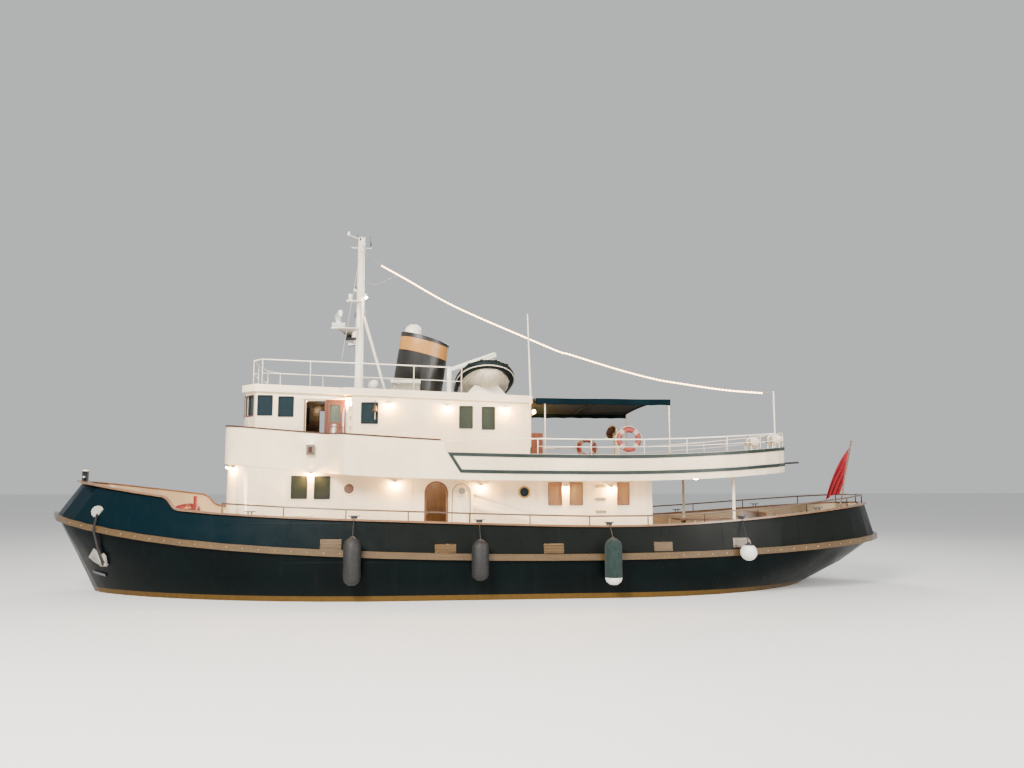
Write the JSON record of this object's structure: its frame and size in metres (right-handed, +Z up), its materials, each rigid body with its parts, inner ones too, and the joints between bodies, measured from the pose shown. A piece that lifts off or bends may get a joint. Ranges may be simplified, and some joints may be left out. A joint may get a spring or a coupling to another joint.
{
  "type": "harbour tugboat",
  "caption": "Classic harbour tug fitted out as a motor yacht, with wheelhouse, funnel, mast, boat deck, awning, tender, windlass, fenders, steering gear and propeller.",
  "frame": {"origin": "on the centreline amidships, at the waterline the boat floats at", "axes": "+X to the bow, +Y to port, +Z up"},
  "size_m": [26.24, 7.674, 14.22],
  "materials": {
    "hull_paint": "glossy dark bottle-green enamel, red-brown antifouling below a gold boot-top line",
    "varnished_wood": "glossy varnished hardwood",
    "cap_wood": "oiled dark hardwood",
    "cream_paint": "semi-gloss cream-white enamel",
    "white_paint": "semi-gloss white enamel",
    "green_trim": "semi-gloss dark green trim",
    "radar_shell": "smooth white moulded shell",
    "black_paint": "semi-gloss black enamel",
    "red_paint": "worn red deck machinery enamel",
    "anchor_paint": "cast, painted light grey",
    "tender_fabric": "matte coated inflatable fabric",
    "tender_shell": "white moulded hull",
    "awning_fabric": "dark green woven awning cloth",
    "lifebuoy_plastic": "orange-red with white bands",
    "black_rubber": "dull black",
    "fender_cover": "dark green knitted cover",
    "fender_vinyl": "smooth white vinyl",
    "ensign_cloth": "plain red bunting",
    "teak": "weathered teak",
    "bronze": "cast bronze",
    "antifouling": "matte red-brown antifouling"
  },
  "bodies": {
    "boat": {"hull": "hull_paint", "bulwark_port": "hull_paint", "bulwark_stbd": "hull_paint", "rudder_heel": "antifouling", "rub_rail": "varnished_wood", "cap_rail": "cap_wood", "bulwark_handrail": "cap_wood", "lower_deckhouse": "cream_paint", "inner_bulkheads": "cap_wood", "boat_deck": "cream_paint", "boat_deck_bulwark": "cream_paint", "bridge_cap": "cap_wood", "boat_deck_moulding": "green_trim", "boat_deck_rail": "white_paint", "boat_deck_pillar_port": "white_paint", "boat_deck_pillar_stbd": "white_paint", "upper_deckhouse": "cream_paint", "wheelhouse": "cream_paint", "upper_roof": "cream_paint", "wheelhouse_roof": "cream_paint", "roof_rail": "white_paint", "mast": "white_paint", "funnel": "black_paint", "funnel_dome": "white_paint", "roof_locker": "white_paint", "tender_tube": "tender_fabric", "tender_hull": "tender_shell", "tender_cradle": "white_paint", "crane_post": "white_paint", "awning_frame": "white_paint", "awning": "awning_fabric", "lifebuoy_port": "lifebuoy_plastic", "lifebuoy_stbd": "lifebuoy_plastic", "cowl_vent": "white_paint", "deck_cabinet": "varnished_wood", "windlass_frame": "red_paint", "bitts_fore": "black_paint", "bitts_aft": "black_paint", "anchor_port": "anchor_paint", "anchor_stbd": "anchor_paint", "fender_black_fore": "black_rubber", "fender_black_mid": "black_rubber", "fender_green": "fender_cover", "fender_ball": "fender_vinyl", "ensign_staff": "varnished_wood", "ensign": "ensign_cloth", "aft_table": "teak", "aft_bench": "teak", "helm_console": "varnished_wood"},
    "port_door": {"door_port": "cream_paint"},
    "stbd_door": {"door_stbd": "cream_paint"},
    "port_slider": {"wheelhouse_door_port": "varnished_wood"},
    "stbd_slider": {"wheelhouse_door_stbd": "varnished_wood"},
    "scanner": {"radar_scanner": "radar_shell"},
    "turret": {"crane_turret": "white_paint"},
    "boom": {"crane_boom": "white_paint"},
    "warping_heads": {"windlass_heads": "red_paint"},
    "steering_wheel": {"helm_wheel": "varnished_wood"},
    "screw": {"propeller": "bronze"},
    "steering": {"rudder": "antifouling"}
  },
  "joints": [
    {"name": "port_door_hinge", "type": "hinge", "parent": "boat", "child": "port_door", "pos_m": [0.68, 2.376, 2.25], "axis": [0, 0, 1], "range_deg": [-180, 0]},
    {"name": "stbd_door_hinge", "type": "hinge", "parent": "boat", "child": "stbd_door", "pos_m": [0.68, -2.376, 2.25], "axis": [0, 0, 1], "range_deg": [0, 180]},
    {"name": "port_slider_slide", "type": "slide", "parent": "boat", "child": "port_slider", "axis": [1, 0, 0], "range_m": [0, 0.58]},
    {"name": "stbd_slider_slide", "type": "slide", "parent": "boat", "child": "stbd_slider", "axis": [1, 0, 0], "range_m": [0, 0.58]},
    {"name": "radar_spin", "type": "hinge", "parent": "boat", "child": "scanner", "pos_m": [4.19, 0, 8.42], "axis": [0, 0, 1], "continuous": true},
    {"name": "crane_slew", "type": "hinge", "parent": "boat", "child": "turret", "pos_m": [0.64, 0.95, 6.48], "axis": [0, 0, 1], "range_deg": [-100, 0]},
    {"name": "crane_luff", "type": "hinge", "parent": "turret", "child": "boom", "pos_m": [0.64, 0.95, 6.77], "axis": [0, 1, 0], "range_deg": [0, 50]},
    {"name": "windlass_turn", "type": "hinge", "parent": "boat", "child": "warping_heads", "pos_m": [8.65, 0, 2.38], "axis": [0, 1, 0], "continuous": true},
    {"name": "propeller_spin", "type": "hinge", "parent": "boat", "child": "screw", "pos_m": [-9.98, 0, -1.76], "axis": [1, 0, 0], "continuous": true},
    {"name": "rudder_turn", "type": "hinge", "parent": "boat", "child": "steering", "pos_m": [-10.62, 0, -1.7], "axis": [0, 0, 1], "range_deg": [-35, 35]},
    {"name": "helm_turn", "type": "hinge", "parent": "boat", "child": "steering_wheel", "pos_m": [5.74, 0, 4.76], "axis": [1, 0, 0], "range_deg": [-361, 361]}
  ],
  "couplings": [
    {"joint": "helm_turn", "follows": "rudder_turn", "ratio": 10.286}
  ]
}
